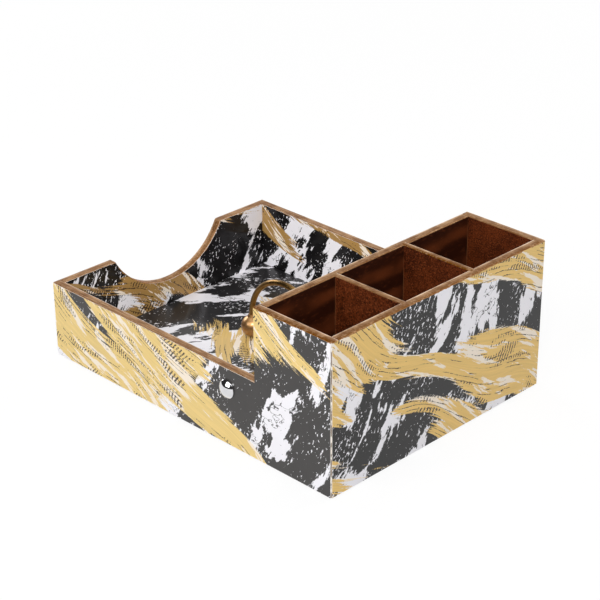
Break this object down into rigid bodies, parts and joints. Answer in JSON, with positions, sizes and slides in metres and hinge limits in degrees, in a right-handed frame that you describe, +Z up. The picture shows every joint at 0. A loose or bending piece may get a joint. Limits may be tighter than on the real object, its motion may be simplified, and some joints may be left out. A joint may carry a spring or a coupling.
{
  "type": "cutlery and napkin holder",
  "caption": "Tabletop holder of printed boards: low napkin tray with a scooped end wall and a hinged ball-weighted wire arm, beside a taller caddy with open cutlery compartments.",
  "frame": {"origin": "on the underside of the felt, at the middle of the footprint", "axes": "+X along the length from the scooped wall to the caddy, +Y across to the back, +Z up"},
  "size_m": [0.254, 0.198, 0.1024],
  "materials": {
    "painted_board": "fibreboard, bronze paint on the rims and dark red-brown paint in the compartments",
    "printed_sheet": "glossy lacquered print in charcoal, white and gold",
    "felt": "thin dark felt",
    "antique_brass": "antique brass, satin",
    "chrome": "polished chrome plate"
  },
  "bodies": {
    "holder": {"base_felt": "felt", "base_board": "painted_board", "front_panel": "painted_board", "back_panel": "painted_board", "scoop_panel": "painted_board", "caddy_tray_panel": "painted_board", "caddy_end_panel": "painted_board", "divider_front": "painted_board", "divider_back": "painted_board", "print_front": "printed_sheet", "print_back": "printed_sheet", "print_caddy_end": "printed_sheet", "print_scoop_outer": "printed_sheet", "print_scoop_inner": "printed_sheet", "print_tray_front": "printed_sheet", "print_tray_back": "printed_sheet", "print_tray_caddy": "printed_sheet", "print_tray_floor": "printed_sheet"},
    "napkin_arm": {"pivot_rod": "antique_brass", "arm_wire": "antique_brass", "ball_weight": "antique_brass", "dome_cap_front": "chrome", "dome_cap_back": "chrome"}
  },
  "joints": [
    {"name": "arm_lift", "type": "hinge", "parent": "holder", "child": "napkin_arm", "pos_m": [0.0404, 0, 0.0395], "axis": [0, 1, 0], "range_deg": [0, 95]}
  ]
}
